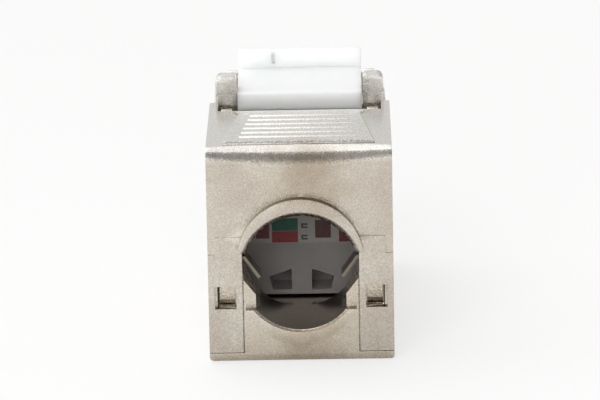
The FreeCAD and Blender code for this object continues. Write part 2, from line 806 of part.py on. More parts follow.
def make_keystone_latch():
    """The sprung tongue: a thin skin bent over a ramp, with a thumb tail, a tooth and two trunnions."""
    body = new_body("keystone_latch")
    pivot = (at("latch_pivot_place"), "latch_pivot_height")
    tooth = at("latch_tooth_place")
    tail_end = at("shoulder_start")
    lip_front = at("shoulder_start + latch_lip_length")
    ramp_foot = at("latch_pivot_place + latch_barrel / 2")
    profile = [
        (tail_end, "latch_lip"),
        (lip_front, "latch_lip"),
        (lip_front, "latch_underside"),
        (at("latch_tooth_place - latch_ramp"), "latch_underside"),
        (at("latch_pivot_place"), "latch_pivot_height - latch_barrel / 2"),
        (ramp_foot, "latch_pivot_height + latch_barrel / 2"),
        (at("latch_tooth_place + latch_peak_flat"), "latch_peak"),
        (tooth, "latch_peak"),
        (tooth, "latch_tail_top + latch_tail_rise"),
        (tail_end, "latch_tail_top", "latch_lip_length / 2"),
    ]
    pad(body, "tongue", "X", "-latch_half", "latch_half", profile)
    pad(body, "barrel", "X", "-latch_half", "latch_half", circle(*pivot, "latch_barrel"))
    hollow_rear = at("latch_tooth_place + latch_skin")
    hollow_front = at("latch_pivot_place - 2 * latch_barrel")
    hollow = [
        (hollow_rear, "latch_underside - latch_web"),
        (hollow_front, "latch_underside - latch_web"),
        (hollow_front, "latch_pivot_height + latch_barrel / 2"),
        (hollow_rear, "latch_peak - latch_web"),
    ]
    pocket(body, "hollow", "X", "-(latch_half - latch_skin)", "latch_half - latch_skin", hollow)
    slit_half = "latch_slit_width / 2"
    slit = box(f"-latch_slit_place - {slit_half}", f"-latch_slit_place + {slit_half}",
               "latch_slit_foot", "latch_slit_top")
    pocket(body, "slit", "Y", tooth, at("latch_tooth_place + latch_slit_depth"), slit)
    trunnion = circle(*pivot, "trunnion_radius")
    for word, side in SIDES.items():
        reach = both(side, "latch_half - latch_barrel / 2", "latch_half + trunnion_length")
        pad(body, "trunnion_" + word, "X", *reach, trunnion)
    return body


def make_contact_carrier():
    """The insulating comb round the socket: rear wall, roof over the contacts, floor and side rails."""
    body = new_body("contact_carrier")
    rear, inner = at("carrier_place"), at("carrier_place + carrier_wall")
    step, front = at("shoulder_end + insert_gap"), at("carrier_front")
    back = box("-insert_half", "insert_half", "carrier_floor", "carrier_low_top")
    pad(body, "rear_wall", "Y", rear, inner, back)
    roof = box("-insert_half", "insert_half", "carrier_roof", "carrier_low_top")
    pad(body, "rear_roof", "Y", rear, step, roof)
    front_roof = box("-carrier_half", "carrier_half", "carrier_roof", "carrier_top")
    pad(body, "front_roof", "Y", step, front, front_roof)
    floor = box("-rail_half", "rail_half", "carrier_floor", "tab_bottom - insert_gap")
    pad(body, "floor", "Y", rear, front, floor)
    for word, side in SIDES.items():
        reach = both(side, "tab_half + insert_gap", "rail_half")
        rail = box(*reach, "carrier_floor", "socket_bottom - insert_gap")
        pad(body, "rail_" + word, "Y", rear, front, rail)
    first = "-3.5 * contact_pitch"
    groove = box(f"{first} - contact_slot / 2", f"{first} + contact_slot / 2",
                 "carrier_roof - contact_slot", "contact_height + contact_thickness / 2 + contact_clearance")
    groove_end = at("contact_bend_place + contact_bend + contact_thickness / 2 + contact_clearance")
    grooves = pocket(body, "contact_groove", "Y", rear, groove_end, groove)
    row(body, "contact_grooves", grooves, "X", "contact_pitch", 8)
    return body


def make_contact(index):
    """One socket contact: a wire along the roof, bent back over the plug's space."""
    body = new_body(f"contact_{index + 1}")
    across = f"({index} - 3.5) * contact_pitch"
    centre = (at("contact_bend_place"), "contact_height - contact_bend")
    low_y = "sin(contact_slope * 1 deg)"
    low_x = "cos(contact_slope * 1 deg)"
    turn_end = (f"{centre[0]} + contact_bend * {low_y}", f"{centre[1]} - contact_bend * {low_x}")
    tip = (f"{turn_end[0]} - contact_length * {low_x}", f"{turn_end[1]} - contact_length * {low_y}")
    route = [
        (at("board_front"), "contact_height"),
        (centre[0], "contact_height"),
        (*turn_end, centre, -1),
        tip,
    ]
    path = sketch_on(body, "route", "X", across, route, closed=False)
    half = "contact_width / 2"
    strip = box(f"{across} - {half}", f"{across} + {half}",
                "contact_height - contact_thickness / 2", "contact_height + contact_thickness / 2")
    section = sketch_on(body, "section", "Y", at("board_front"), strip)
    wire = body.newObject("PartDesign::AdditivePipe", "wire")
    wire.Profile = section
    wire.Spine = (path, ["Edge1", "Edge2", "Edge3"])
    doc.recompute()
    return body


def make_circuit_board():
    """The board between the cable terminals and the socket contacts."""
    body = new_body("circuit_board")
    outline = box("-insert_half", "insert_half", "board_bottom", "block_top", "corner_round")
    pad(body, "board", "Y", at("board_place"), at("board_front"), outline)
    return body


def terminal_spots():
    """The places of the eight terminals: two rows of four."""
    for height in ("terminal_low", "terminal_high"):
        for column in range(4):
            yield f"({column} - 1.5) * terminal_pitch", height


def terminal_slots(across, up):
    """The outlines of the slots round the eight terminals, with half their width and half their height."""
    return [
        box(f"{x} - ({across})", f"{x} + {across}", f"{z} - ({up})", f"{z} + {up}")
        for x, z in terminal_spots()
    ]


def post_outline(side, room):
    """The outline of a guide post, with room left round it."""
    middle, half, tall = f"{side} * post_place", f"(post_width / 2 + {room})", f"(post_tall / 2 + {room})"
    return box(f"{middle} - {half}", f"{middle} + {half}", f"post_height - {tall}", f"post_height + {tall}")


def make_idc_block():
    """The block that holds the terminals, with two posts that guide the wire manager."""
    body = new_body("idc_block")
    outline = box("-insert_half", "insert_half", "block_bottom", "block_top")
    pad(body, "block", "Y", at("block_place"), at("block_front"), outline)
    for word, side in SIDES.items():
        pad(body, "post_" + word, "Y", at("post_tip"), at("block_place + 1"), post_outline(side, "0"))
    slots = terminal_slots("terminal_thickness / 2 + seat_gap", "terminal_tall / 2 + seat_gap")
    pocket(body, "terminal_slots", "Y", at("block_place"), at("block_front"), *slots)
    return body


def make_idc_terminal(index, across, height):
    """One blade with a fork that cuts through a wire's insulation."""
    body = new_body(f"idc_terminal_{index + 1}")
    tip, root, fork = at("terminal_tip"), at("board_place"), at("terminal_tip + terminal_fork")
    low, high = f"{height} - terminal_tall / 2", f"{height} + terminal_tall / 2"
    slit_low, slit_high = f"{height} - terminal_slit / 2", f"{height} + terminal_slit / 2"
    bevel = at("terminal_tip + terminal_slit")
    blade = [
        (tip, low),
        (root, low),
        (root, high),
        (tip, high),
        (tip, f"{slit_high} + terminal_slit"),
        (bevel, slit_high),
        (fork, slit_high),
        (fork, slit_low),
        (bevel, slit_low),
        (tip, f"{slit_low} - terminal_slit"),
    ]
    half = "terminal_thickness / 2"
    pad(body, "blade", "X", f"{across} - {half}", f"{across} + {half}", blade)
    return body


def make_wire_manager():
    """The cap that holds the eight wires and slides on the posts over the terminals."""
    body = new_body("wire_manager")
    outline = [
        ("-insert_half", "manager_bottom", "corner_round"),
        ("insert_half", "manager_bottom", "corner_round"),
        ("insert_half", "manager_top", "corner_round"),
        ("-insert_half", "manager_top", "corner_round"),
    ]
    pad(body, "cap", "Y", at("manager_place"), at("manager_front"), outline)
    slots = terminal_slots("terminal_thickness", "terminal_tall / 2 + insert_gap")
    pocket(body, "terminal_slots", "Y", at("manager_place + manager_face"), at("manager_front"), *slots)
    sockets = [post_outline(side, "seat_gap") for side in SIDES.values()]
    pocket(body, "post_sockets", "Y", at("post_tip - seat_gap"), at("manager_front"), *sockets)
    ports = []
    for side in SIDES.values():
        ports.append([
            (f"{side} * port_near", "port_low"),
            (f"{side} * (port_far - port_corner)", "port_low"),
            (f"{side} * port_far", "port_high - port_slope"),
            (f"{side} * port_near", "port_high"),
        ])
    pocket(body, "lower_ports", "Y", at("manager_place"), at("manager_front"), *ports)
    return body


def make_wiring_label():
    """The thin label on the wire manager's rear face."""
    body = new_body("wiring_label")
    outline = box("-label_half", "label_half", "label_bottom", "label_top")
    pad(body, "label", "Y", at("manager_place - label_thickness"), at("manager_place"), outline)
    return body


def make_shield_spring(word, side):
    """A bowed strip on the socket's side wall that presses on the plug's shield."""
    body = new_body("shield_spring_" + word)
    wall, skin = "snout_inner - seat_gap", "spring_sheet"
    start, end = at("shield_spring_start"), at("shield_spring_end")
    middle = at("(shield_spring_start + shield_spring_end) / 2")
    strip = [
        (f"{side} * ({wall})", start),
        (f"{side} * ({wall} - shield_spring_bow)", middle),
        (f"{side} * ({wall})", end),
        (f"{side} * ({wall} - {skin})", end),
        (f"{side} * ({wall} - {skin} - shield_spring_bow)", middle),
        (f"{side} * ({wall} - {skin})", start),
    ]
    pad(body, "strip", "Z", "shield_spring_low", "shield_spring_high", strip)
    return body


def make_ground_spring(word, side):
    """A strip on the saddle's wall with a finger that slants into the cable's space."""
    body = new_body("ground_spring_" + word)
    skin = "spring_sheet"
    strip = [
        (f"{side} * (cable_radius + ground_spring_foot)", "shell_height"),
        (f"{side} * (cable_radius + ground_spring_foot)", f"shell_height + {skin}"),
        (f"{side} * (cable_radius - {skin})", f"shell_height + {skin}"),
        (f"{side} * ground_finger_place", f"ground_finger_height + {skin} / 2"),
        (f"{side} * (ground_finger_place + {skin})", f"ground_finger_height - {skin} / 2"),
        (f"{side} * (cable_radius - seat_gap)", "shell_height"),
    ]
    pad(body, "strip", "Y", at("ground_spring_start"), at("ground_spring_start + ground_spring_width"), strip)
    return body


# ---- build, check and write ----

def check_document():
    """Stops if any object of the document failed or any sub-part has no sound solid."""
    for item in doc.Objects:
        if {"Invalid", "Error"} & set(item.State):
            raise RuntimeError(f"{item.Label} failed: {item.State}")
    for piece in pieces:
        if piece.Shape.isNull() or not piece.Shape.isValid() or len(piece.Shape.Solids) != 1:
            raise RuntimeError(f"{piece.Label} is not one sound solid")


sheet = make_sheet()
pieces = [make_base_shell(), make_front_housing(), make_upper_cover()]
pieces += [make_hinge_pin(word, side) for word, side in SIDES.items()]
pieces += [make_keystone_latch(), make_contact_carrier()]
pieces += [make_contact(index) for index in range(8)]
pieces += [make_circuit_board(), make_idc_block()]
pieces += [make_idc_terminal(index, *spot) for index, spot in enumerate(terminal_spots())]
pieces += [make_wire_manager(), make_wiring_label()]
pieces += [make_shield_spring(word, side) for word, side in SIDES.items()]
pieces += [make_ground_spring(word, side) for word, side in SIDES.items()]
doc.recompute()
check_document()

os.makedirs("parts", exist_ok=True)
for piece in pieces:
    piece.Shape.exportStep(f"parts/{piece.Label}.step")
    print(f"{piece.Label}: {piece.Shape.Volume:.2f} mm3")
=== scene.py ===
import math

import bmesh
import bpy
from mathutils import Matrix, Vector


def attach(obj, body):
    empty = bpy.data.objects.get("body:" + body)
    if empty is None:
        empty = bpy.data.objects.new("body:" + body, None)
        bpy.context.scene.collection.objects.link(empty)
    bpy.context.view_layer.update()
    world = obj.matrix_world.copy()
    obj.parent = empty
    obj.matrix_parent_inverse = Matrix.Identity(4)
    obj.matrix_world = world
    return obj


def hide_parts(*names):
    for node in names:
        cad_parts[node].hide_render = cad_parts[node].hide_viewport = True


# A shielded keystone jack: die-cast housing and hinged cover, white snap latch, wire manager and contacts.
# X runs to the right, Y from the cable end to the socket end, and Z up. Sizes are in millimetres, turned into
# metres by MM; only lamps, floor and camera are in metres.

MM = 0.001
REAR_WALL = 16.5  # how far the rear wall's outside stands from the frame's middle, towards the cable
PAD_TOP = 20.25  # the thumb pad's face, from which its ribs rise
PAINTED_LIGHT_FROM, PAINTED_LIGHT_TO = 18.6, 19.9  # between these heights the walls' painted warm reflection gives way to the tops' paler painted light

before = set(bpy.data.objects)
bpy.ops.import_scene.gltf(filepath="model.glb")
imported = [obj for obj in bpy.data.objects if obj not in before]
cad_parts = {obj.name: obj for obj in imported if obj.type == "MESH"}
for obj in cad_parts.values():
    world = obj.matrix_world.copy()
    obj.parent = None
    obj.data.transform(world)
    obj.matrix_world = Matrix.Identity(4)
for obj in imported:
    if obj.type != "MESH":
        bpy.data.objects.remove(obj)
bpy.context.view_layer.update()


# ---- materials ----

def linear(code):
    """Turns an sRGB hex code into a linear colour."""
    channels = [int(code[i:i + 2], 16) / 255 for i in (1, 3, 5)]
    return tuple(c / 12.92 if c <= 0.04045 else ((c + 0.055) / 1.055) ** 2.4 for c in channels) + (1.0,)


def add(tree, kind, sockets=None, **settings):
    """Adds a node with its settings, and fills or links its sockets."""
    node = tree.nodes.new(kind)
    for name, value in settings.items():
        setattr(node, name, value)
    for socket, value in (sockets or {}).items():
        if isinstance(value, bpy.types.NodeSocket):
            tree.links.new(value, node.inputs[socket])
        else:
            node.inputs[socket].default_value = value
    return node


def empty_material(name):
    """A material whose node tree is still bare."""
    material = bpy.data.materials.new(name)
    material.use_nodes = True
    material.node_tree.nodes.clear()
    return material, material.node_tree


def grain(tree, size, detail=3.0, offset=(0, 0, 0)):
    """A noise pattern whose lumps are about the given size in millimetres."""
    place = add(tree, "ShaderNodeTexCoord").outputs["Object"]
    moved = add(tree, "ShaderNodeMapping", {"Vector": place, "Location": offset}).outputs["Vector"]
    return add(tree, "ShaderNodeTexNoise", {
        "Vector": moved, "Scale": 1 / (size * MM * 2), "Detail": detail, "Roughness": 0.55,
    }).outputs["Fac"]


def two_tones(tree, pattern, first, second, start=0.3, end=0.7, least=0.0, most=1.0):
    """A colour that passes from one tone to another as a pattern rises from start to end."""
    share = add(tree, "ShaderNodeMapRange", {
        "Value": pattern, "From Min": start, "From Max": end, "To Min": least, "To Max": most,
    }).outputs["Result"]
    return add(tree, "ShaderNodeMix", {0: share, 6: first, 7: second}, data_type="RGBA").outputs[2]


def skin_shader(tree, colour, skin, rough, relief, **fixed):
    """A shader whose roughness and relief both follow one skin pattern.

    rough is (least, most) and relief is (depth in millimetres, strength). fixed holds what is the same all
    over, with spaces in the sockets' names written as underscores."""
    roughness = add(tree, "ShaderNodeMapRange", {
        "Value": skin, "From Min": 0.3, "From Max": 0.7, "To Min": rough[0], "To Max": rough[1],
    }).outputs["Result"]
    normal = add(tree, "ShaderNodeBump", {
        "Height": skin, "Distance": relief[0] * MM, "Strength": relief[1],
    }).outputs["Normal"]
    sockets = {"Base Color": colour, "Roughness": roughness, "Normal": normal}
    sockets.update((name.replace("_", " "), value) for name, value in fixed.items())
    shader = add(tree, "ShaderNodeBsdfPrincipled", sockets)
    add(tree, "ShaderNodeOutputMaterial", {"Surface": shader.outputs["BSDF"]})


def nickel_plated_casting(name, body, shade, painted_top_colour, rough, shade_patch_place):
    """Nickel plating over die-cast zinc: warm grey metal with a fine sandy grain and faint cloudy stains.

    The walls take a warmer tone, a painted reflection, and above a set height the tops turn paler, painted
    light.
    The tops are rubbed smooth, the walls stay sandy, and one patch is painted shade, darker and browner.
    The sand is drawn at 0.07 mm, a little coarser than the real one, so that it shows."""
    material, tree = empty_material(name)
    sand = grain(tree, 0.07, detail=1.0)
    pits = grain(tree, 0.2, detail=2.0, offset=(0.003, 0.001, 0.002))
    cloud = grain(tree, 2.6, offset=(0.01, 0.02, 0.0))

    place = add(tree, "ShaderNodeTexCoord").outputs["Object"]
    height = add(tree, "ShaderNodeSeparateXYZ", {"Vector": place}).outputs["Z"]
    tint = two_tones(tree, cloud, linear(body), linear(shade), 0.38, 0.66)
    # Painted light: the warmer walls below the set heights are a painted reflection, and the paler tops above
    # are painted light.
    top_lit = two_tones(tree, height, tint, linear(painted_top_colour), PAINTED_LIGHT_FROM * MM, PAINTED_LIGHT_TO * MM)
    # Painted shade: a darker, browner patch laid on where the patch mask reaches.
    with_painted_shade = add(tree, "ShaderNodeMix", {
        0: painted_shade_patch(tree, *shade_patch_place), 6: top_lit, 7: linear("#A08C72"),
    }, data_type="RGBA").outputs[2]
    specked = two_tones(tree, sand, with_painted_shade, linear("#8F8577"), 0.38, 0.62, most=0.3)

    coarse = add(tree, "ShaderNodeMapRange", {
        "Value": pits, "From Min": 0.3, "From Max": 0.7, "To Min": rough - 0.07, "To Max": rough + 0.09,
    }).outputs["Result"]
    lumps = add(tree, "ShaderNodeMath", {0: sand, 1: pits}, operation="ADD").outputs[0]
    shader = add(tree, "ShaderNodeBsdfPrincipled", {
        "Base Color": specked,
        "Metallic": 1.0,
        "Roughness": add(tree, "ShaderNodeMath", {
            0: coarse, 1: sandy_share(tree, 0.6),
        }, operation="MULTIPLY").outputs[0],
        "Normal": add(tree, "ShaderNodeBump", {
            "Height": lumps, "Distance": 0.022 * MM, "Strength": sandy_share(tree, 0.25),
        }).outputs["Normal"],
    })
    add(tree, "ShaderNodeOutputMaterial", {"Surface": shader.outputs["BSDF"]})
    return material


def sandy_share(tree, rubbed):
    """Is 1 on the walls, and falls to a given share where the metal faces up and hands rub it smooth."""
    way = add(tree, "ShaderNodeTexCoord").outputs["Normal"]
    up = add(tree, "ShaderNodeSeparateXYZ", {"Vector": way}).outputs["Z"]
    return add(tree, "ShaderNodeMapRange", {
        "Value": up, "From Min": 0.68, "From Max": 0.74, "To Min": 1.0, "To Max": rubbed,
    }).outputs["Result"]


def painted_shade_patch(tree, across, up, reach, share):
    """A soft-edged, ragged round patch of painted shade on the rear face, darker and browner."""
    place = add(tree, "ShaderNodeTexCoord").outputs["Object"]
    apart = add(tree, "ShaderNodeVectorMath", {0: place, 1: spot(across, 0.0, up)}, operation="DISTANCE")
    ragged = add(tree, "ShaderNodeMath", {
        0: grain(tree, 1.3), 1: reach * MM, 2: apart.outputs["Value"],
    }, operation="MULTIPLY_ADD").outputs[0]
    return add(tree, "ShaderNodeMapRange", {
        "Value": ragged, "From Min": 0.6 * reach * MM, "From Max": 1.6 * reach * MM,
        "To Min": share, "To Max": 0.0,
    }, interpolation_type="SMOOTHSTEP").outputs["Result"]


def moulded_plastic(name, colour, shade, rough, see_in=0.0):
    """Injection-moulded plastic: even colour, faint flow marks and a satin skin.

    Where light gets in, to a depth given in millimetres, it also looks milky."""
    material, tree = empty_material(name)
    flow = grain(tree, 2.4, detail=2.0)
    skin = grain(tree, 0.09, detail=2.0)
    milky = {
        "Subsurface_Weight": 1.0, "Subsurface_Radius": (1.0, 0.97, 0.94), "Subsurface_Scale": see_in * MM,
    } if see_in else {}
    skin_shader(
        tree, two_tones(tree, flow, linear(colour), linear(shade)), skin,
        (rough - 0.05, rough + 0.07), (0.006, 0.35), IOR=1.5, **milky,
    )
    return material


def plated_wire(name, colour, shade, rough):
    """Drawn or stamped metal with a smooth plated skin and fine drawing marks along it."""
    material, tree = empty_material(name)
    marks = grain(tree, 0.06, detail=2.0)
    worn = grain(tree, 0.9, detail=2.0)
    skin_shader(
        tree, two_tones(tree, worn, linear(colour), linear(shade)), marks,
        (rough - 0.05, rough + 0.08), (0.003, 0.3), Metallic=1.0,
    )
    return material


def printed_ink(name, colour, shade):
    """Matt ink on a paper label: flat colour with a slight mottle from the print."""
    material, tree = empty_material(name)
    mottle = grain(tree, 0.16)
    skin_shader(
        tree, two_tones(tree, mottle, linear(colour), linear(shade)), mottle, (0.5, 0.66), (0.003, 0.2),
    )
    return material


def board_resist():
    """Green solder resist over woven glass: a faint square weave, 0.35 mm a square, under a glossy skin."""
    material, tree = empty_material("solder_resist")
    place = add(tree, "ShaderNodeTexCoord").outputs["Object"]
    weave = add(tree, "ShaderNodeTexChecker", {"Vector": place, "Scale": 1 / (0.35 * MM)}).outputs["Fac"]
    green = two_tones(tree, weave, linear("#1F5E34"), linear("#17482A"), 0.0, 1.0, 0.2, 0.5)
    skin_shader(tree, green, grain(tree, 0.5), (0.24, 0.36), (0.006, 0.3))
    return material


def make_materials():
    """Every finish of the jack, by the name that the pieces use."""
    return {
        # Three copies of the plating: warm on the cover, a paler one in front that is painted light, plain on
        # the base.
        # The last values place a patch of painted shade, darker and browner: across, up, reach and share.
        "casting": nickel_plated_casting(
            "nickel_plated_zinc", "#D8D1C6", "#C8BEB2", "#E6E3DF", 0.26, (0.4, 17.0, 5.0, 0.6),
        ),
        # Painted light: the front housing is written paler, with its tops palest, so that its ears come out
        # bright.
        "front_casting": nickel_plated_casting(
            "nickel_plated_zinc_front", "#DFD7CA", "#D2C6B5", "#F4F2EE", 0.3, (0.0, 2.0, 3.0, 0.3),
        ),
        "base_casting": nickel_plated_casting(
            "nickel_plated_zinc_base", "#DCD3C6", "#CFC3B1", "#DCD3C6", 0.27, (0.5, 0.6, 4.5, 0.5),
        ),
        "pin": plated_wire("drawn_steel_pin", "#B6B0A6", "#9C968C", 0.3),
        "spring": plated_wire("nickel_silver_strip", "#9A9386", "#80786C", 0.34),
        "gold": plated_wire("gold_plated_bronze", "#E3B85A", "#C99A3F", 0.2),
        "tin": plated_wire("tinned_bronze", "#C6C5C0", "#ABA9A2", 0.3),
        "white": moulded_plastic("white_nylon", "#F6F8F8", "#F1F4F5", 0.4, 2.2),
        # Painted shade: the wire manager and terminal block are written mid-grey, darker than the pale
        # plastic probably is, for the shade in the opening.
        "manager": moulded_plastic("polycarbonate_darkened_as_shade", "#96918F", "#8A8583", 0.45, 0.3),
        "dark": moulded_plastic("black_polycarbonate", "#2B2B2D", "#333336", 0.38),
        "board": board_resist(),
        # Painted shade: the label's paper and inks are written darker than their own colours, for the shade
        # in the opening.
        "paper": printed_ink("paper_label", "#94908C", "#9C9893"),
        "green": printed_ink("green_ink", "#1D5341", "#194C3B"),
        "red": printed_ink("red_ink", "#802F31", "#7C2C2F"),
        "brown": printed_ink("brown_ink", "#4E312F", "#4A2E2C"),
        "maroon": printed_ink("maroon_ink", "#652E32", "#622B31"),
        "ink": printed_ink("dark_ink", "#43454E", "#3F414A"),
        "blue": printed_ink("blue_ink", "#376291", "#345E8E"),
    }


# ---- mesh helpers ----

def spot(across, depth, up):
    """A point in metres, from millimetres across, behind the rear wall's outside, and up."""
    return across * MM, (depth - REAR_WALL) * MM, up * MM


def as_piece(name, mesh, body, slot, *materials):
    """Makes an object of a mesh, riding on a body and wearing the given materials. Its slot argument is not
    used.
    """
    piece = bpy.data.objects.new(name, mesh)
    bpy.context.scene.collection.objects.link(piece)
    for material in materials:
        mesh.materials.append(material)
    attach(piece, body)
    return piece


def lower_crowns(mesh, foot, share):
    """Presses what stands above a height down to a share of its rise, as worn ribs are."""
    for vertex in mesh.vertices:
        if vertex.co.z > foot * MM:
            vertex.co.z = foot * MM + (vertex.co.z - foot * MM) * share


def flat_faced(mesh):
    """Lets the large faces set the normals, so that only the rounded edges between them look curved."""
    holder = bpy.data.objects.new("holder", mesh)
    bpy.context.scene.collection.objects.link(holder)
    modifier = holder.modifiers.new("large_faces", "WEIGHTED_NORMAL")
    modifier.mode = "FACE_AREA"
    modifier.weight = 100
    modifier.keep_sharp = True
    graph = bpy.context.evaluated_depsgraph_get()
    shaded = bpy.data.meshes.new_from_object(holder.evaluated_get(graph))
    bpy.data.objects.remove(holder)
    return shaded


def eased_copy(node, width, segments, worn=None, angle=24.0):
    """A copy of a CAD node's mesh with its sharp edges rounded, as tool and mould leave them.

    It is worked in millimetres, where the mesh tools' own tolerances are small beside it, and cut along the
    middle, so that a face with openings in it is filled cleanly."""
    weld, flat, smooth = 0.001, math.radians(0.6), math.radians(38)
    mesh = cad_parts[node].data.copy()
    mesh.materials.clear()
    if worn:
        lower_crowns(mesh, *worn)
    work = bmesh.new()
    work.from_mesh(mesh)
    bmesh.ops.scale(work, vec=(1 / MM, 1 / MM, 1 / MM), verts=work.verts)
    bmesh.ops.remove_doubles(work, verts=work.verts, dist=weld)
    bmesh.ops.dissolve_limit(work, angle_limit=flat, verts=work.verts, edges=work.edges)
    everything = work.verts[:] + work.edges[:] + work.faces[:]
    bmesh.ops.bisect_plane(work, geom=everything, dist=weld, plane_co=(0, 0, 0), plane_no=(1, 0, 0))
    sharp = [e for e in work.edges if len(e.link_faces) == 2 and e.calc_face_angle() > math.radians(angle)]
    bmesh.ops.bevel(
        work, geom=sharp, offset=width, offset_type="OFFSET", segments=segments, profile=0.5,
        affect="EDGES", clamp_overlap=True, miter_outer="ARC",
    )
    bmesh.ops.triangulate(work, faces=[f for f in work.faces if len(f.verts) > 4])
    bmesh.ops.scale(work, vec=(MM, MM, MM), verts=work.verts)
    work.to_mesh(mesh)
    work.free()
    mesh.shade_smooth()
    mesh.set_sharp_from_angle(angle=smooth)
    return flat_faced(mesh)


def dress_node(node, width, segments, body, slot, material, **easing):
    """Stands a softened copy in for a CAD node."""
    piece = as_piece(node + "_body", eased_copy(node, width, segments, **easing), body, slot, material)
    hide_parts(node)


def paint_node(node, material):
    """Gives a CAD node that keeps its own mesh a finish."""
    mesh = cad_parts[node].data
    mesh.materials.clear()
    mesh.materials.append(material)


def plate_mesh(name, plates):
    """Thin upright plates facing the cable end: (left, right, low, high, rear, depth, finish)."""
    work = bmesh.new()
    for left, right, low, high, rear, depth, finish in plates:
        corners = [
            work.verts.new((x, y, z))
            for y in (rear, rear + depth) for z in (low, high) for x in (left, right)
        ]
        for loop in ((0, 1, 3, 2), (5, 4, 6, 7), (0, 4, 5, 1), (2, 3, 7, 6), (0, 2, 6, 4), (1, 5, 7, 3)):
            face = work.faces.new([corners[i] for i in loop])
            face.material_index = finish
    bmesh.ops.recalc_face_normals(work, faces=work.faces)
    mesh = bpy.data.meshes.new(name)
    work.to_mesh(mesh)
    work.free()
    return mesh


# ---- repeated details, made with geometry nodes ----

def comb_tree():
    """A row of rounded fins: a filleted profile swept up a short line, repeated along X."""
    tree = bpy.data.node_groups.new("comb_fins", "GeometryNodeTree")
    sockets = tree.interface
    for name, kind in (
        ("Count", "NodeSocketInt"), ("Pitch", "NodeSocketFloat"), ("Width", "NodeSocketFloat"),
        ("Length", "NodeSocketFloat"), ("Height", "NodeSocketFloat"), ("Round", "NodeSocketFloat"),
        ("First", "NodeSocketVector"), ("Finish", "NodeSocketMaterial"),
    ):
        sockets.new_socket(name, in_out="INPUT", socket_type=kind)
    sockets.new_socket("Fins", in_out="OUTPUT", socket_type="NodeSocketGeometry")
    given = add(tree, "NodeGroupInput").outputs
    step = add(tree, "ShaderNodeCombineXYZ", {"X": given["Pitch"]})
    places = add(tree, "GeometryNodeMeshLine", {
        "Count": given["Count"], "Start Location": given["First"], "Offset": step.outputs[0],
    })
    profile = add(tree, "GeometryNodeCurvePrimitiveQuadrilateral", {
        "Width": given["Width"], "Height": given["Length"],
    })
    soft = add(tree, "GeometryNodeFilletCurve", {
        "Curve": profile.outputs["Curve"], "Radius": given["Round"], "Count": 4,
    }, mode="POLY")
    top = add(tree, "ShaderNodeCombineXYZ", {"Z": given["Height"]})
    line = add(tree, "GeometryNodeCurvePrimitiveLine", {"End": top.outputs[0]})
    fin = add(tree, "GeometryNodeCurveToMesh", {
        "Curve": line.outputs["Curve"], "Profile Curve": soft.outputs["Curve"], "Fill Caps": True,
    })
    fins = add(tree, "GeometryNodeInstanceOnPoints", {
        "Points": places.outputs["Mesh"], "Instance": fin.outputs["Mesh"],
    })
    real = add(tree, "GeometryNodeRealizeInstances", {"Geometry": fins.outputs["Instances"]})
    done = add(tree, "GeometryNodeSetMaterial", {
        "Geometry": real.outputs["Geometry"], "Material": given["Finish"],
    })
    add(tree, "NodeGroupOutput", {"Fins": done.outputs["Geometry"]})
    return tree


def grown_mesh(name, tree, **inputs):
    """Runs a node tree once with the given inputs and returns its result as a plain mesh."""
    carrier = bpy.data.objects.new(name + "_carrier", bpy.data.meshes.new(name + "_carrier"))
    bpy.context.scene.collection.objects.link(carrier)
    modifier = carrier.modifiers.new("grow", "NODES")
    modifier.node_group = tree
    identifiers = {item.name: item.identifier for item in tree.interface.items_tree if item.in_out == "INPUT"}
    for key, value in inputs.items():
        modifier[identifiers[key]] = value
    graph = bpy.context.evaluated_depsgraph_get()
    mesh = bpy.data.meshes.new_from_object(carrier.evaluated_get(graph))
    bpy.data.objects.remove(carrier)
    mesh.name = name
    work = bmesh.new()
    work.from_mesh(mesh)
    bmesh.ops.recalc_face_normals(work, faces=work.faces)
    work.to_mesh(mesh)
    work.free()
    mesh.shade_smooth()
    mesh.set_sharp_from_angle(angle=math.radians(40))
    return mesh


# ---- the pieces ----

def place_castings(finish):
    """The three castings, with the soft edges that the plated surface shows."""
    dress_node("base_shell", 0.14, 2, "housing", "die_cast", finish["base_casting"])
    dress_node("front_housing", 0.14, 2, "housing", "die_cast", finish["front_casting"])
    # The cover's five ribs are worn to 0.4 of their rise. The wider angle leaves their facets unrounded.
    dress_node(
        "upper_cover", 0.10, 2, "cover", "die_cast", finish["casting"], worn=(PAD_TOP, 0.4), angle=44.0,
    )


def place_mouldings(finish):
    """The latch, the terminal block and the wire manager; the carrier keeps its own mesh."""
    dress_node("keystone_latch", 0.16, 3, "latch", "white_plastic", finish["white"])
    # The terminal block and wire manager wear plastic darkened as painted shade.
    dress_node("idc_block", 0.08, 2, "housing", "white_plastic", finish["manager"])
    dress_node("wire_manager", 0.12, 2, "manager", "white_plastic", finish["manager"])
    paint_node("contact_carrier", finish["dark"])


def place_metal_parts(finish):
    """Pins, springs, contacts, terminals, the board and the label keep their own meshes."""
    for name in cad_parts:
        if name.startswith("hinge_pin"):
            paint_node(name, finish["pin"])
        elif "_spring_" in name:
            paint_node(name, finish["spring"])
        elif name.startswith("contact_") and name != "contact_carrier":
            paint_node(name, finish["gold"])
        elif name.startswith("idc_terminal"):
            paint_node(name, finish["tin"])
    paint_node("circuit_board", finish["board"])
    paint_node("wiring_label", finish["paper"])


